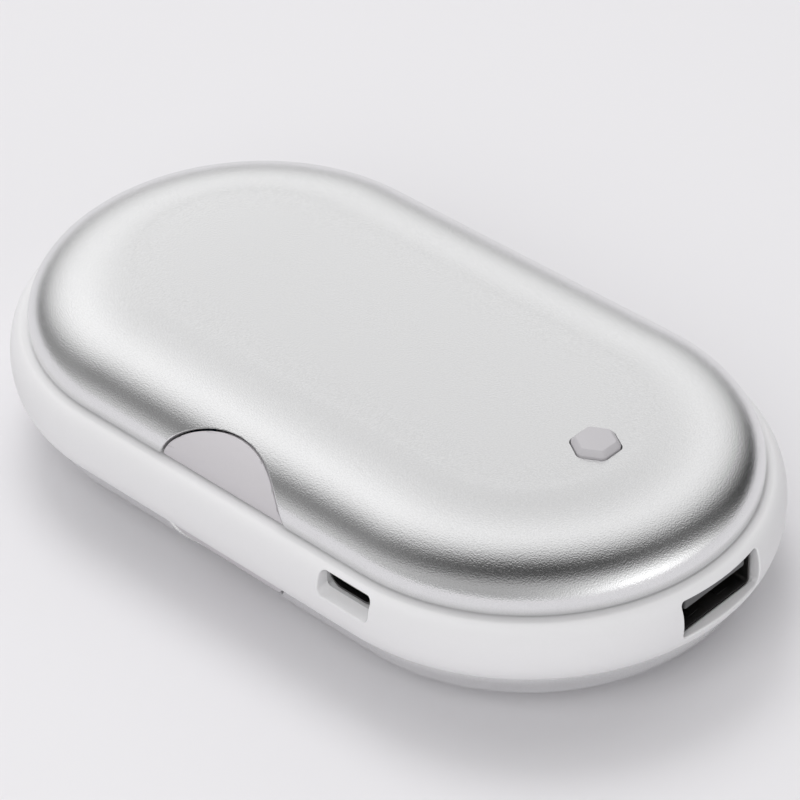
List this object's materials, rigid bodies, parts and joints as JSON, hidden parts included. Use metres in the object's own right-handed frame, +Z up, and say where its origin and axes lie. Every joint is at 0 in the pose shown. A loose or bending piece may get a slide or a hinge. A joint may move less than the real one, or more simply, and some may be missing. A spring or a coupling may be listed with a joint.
{
  "type": "rechargeable hand warmer",
  "caption": "Pocket hand warmer: two dished aluminium heating shells on a white band with charging inlet, power outlet, half-moon light windows and a push button.",
  "frame": {"origin": "middle of the flat of the bottom shell, at the centre of the plan outline", "axes": "+X along the length towards the USB-A outlet, +Z up through the button's shell; -Y is the side with the charging inlet and the light windows"},
  "size_m": [0.1118, 0.0638, 0.0266],
  "materials": {
    "aluminium_shell": "bead blasted",
    "band_plastic": "fine moulded, satin",
    "window_plastic": "frosted",
    "button_plastic": "satin",
    "port_steel": "nickel plated",
    "port_plastic": "matte",
    "contact_metal": "gold plated",
    "inner_plastic": "moulded",
    "cell_wrap": "shrink wrap",
    "paper": "barley paper",
    "circuit_board": "solder mask",
    "chip_resin": "moulded resin",
    "coil_ferrite": "ferrite",
    "capacitor_can": "drawn can",
    "lamp_resin": "clear resin",
    "heater_film": "polyimide film",
    "foam": "open-cell foam",
    "seal_adhesive": "cured adhesive",
    "red_wire": "insulation",
    "black_wire": "insulation",
    "white_wire": "insulation",
    "screw_steel": "plain"
  },
  "bodies": {
    "housing": {"battery_cap_left": "port_steel", "battery_cap_right": "port_steel", "battery_cell_left": "cell_wrap", "battery_cell_right": "cell_wrap", "battery_insulator_left": "paper", "battery_insulator_right": "paper", "battery_lead_black": "black_wire", "battery_lead_red": "red_wire", "board_screw_1": "screw_steel", "board_screw_2": "screw_steel", "bottom_shell": "aluminium_shell", "button_guide": "inner_plastic", "capacitor_1": "capacitor_can", "capacitor_2": "capacitor_can", "capacitor_3": "capacitor_can", "carrier_screw_1": "screw_steel", "carrier_screw_2": "screw_steel", "carrier_screw_3": "screw_steel", "carrier_screw_4": "screw_steel", "controller_chip": "chip_resin", "lower_carrier": "inner_plastic", "lower_foam_pad": "foam", "lower_heater_film": "heater_film", "lower_heater_lead": "white_wire", "lower_led_bar": "lamp_resin", "lower_led_board": "circuit_board", "lower_light_window": "window_plastic", "lower_shell_seal": "seal_adhesive", "main_board": "circuit_board", "micro_usb_contacts": "contact_metal", "micro_usb_shell": "port_steel", "micro_usb_tongue": "port_plastic", "mid_frame": "band_plastic", "nickel_strip_negative": "port_steel", "nickel_strip_positive": "port_steel", "power_inductor": "coil_ferrite", "protection_chip_1": "chip_resin", "protection_chip_2": "chip_resin", "protection_chip_3": "chip_resin", "tact_switch_body": "chip_resin", "thermistor": "chip_resin", "thermistor_lead": "white_wire", "top_shell": "aluminium_shell", "upper_carrier": "inner_plastic", "upper_foam_pad": "foam", "upper_heater_film": "heater_film", "upper_heater_lead": "white_wire", "upper_led_bar": "lamp_resin", "upper_led_board": "circuit_board", "upper_light_window": "window_plastic", "upper_shell_seal": "seal_adhesive", "usb_a_contacts": "contact_metal", "usb_a_shell": "port_steel", "usb_a_tongue": "port_plastic"},
    "button": {"power_button": "button_plastic"},
    "switch_plunger": {"tact_switch_plunger": "button_plastic"}
  },
  "joints": [
    {"name": "button_press", "type": "slide", "parent": "housing", "child": "button", "axis": [0, 0, -1], "range_m": [0, 0.00035], "stiffness_N_per_m": 800, "springref_m": -0.0003},
    {"name": "switch_press", "type": "slide", "parent": "housing", "child": "switch_plunger", "axis": [0, 0, -1], "range_m": [0, 0.00035]}
  ],
  "couplings": [
    {"joint": "switch_press", "follows": "button_press", "ratio": 1}
  ]
}
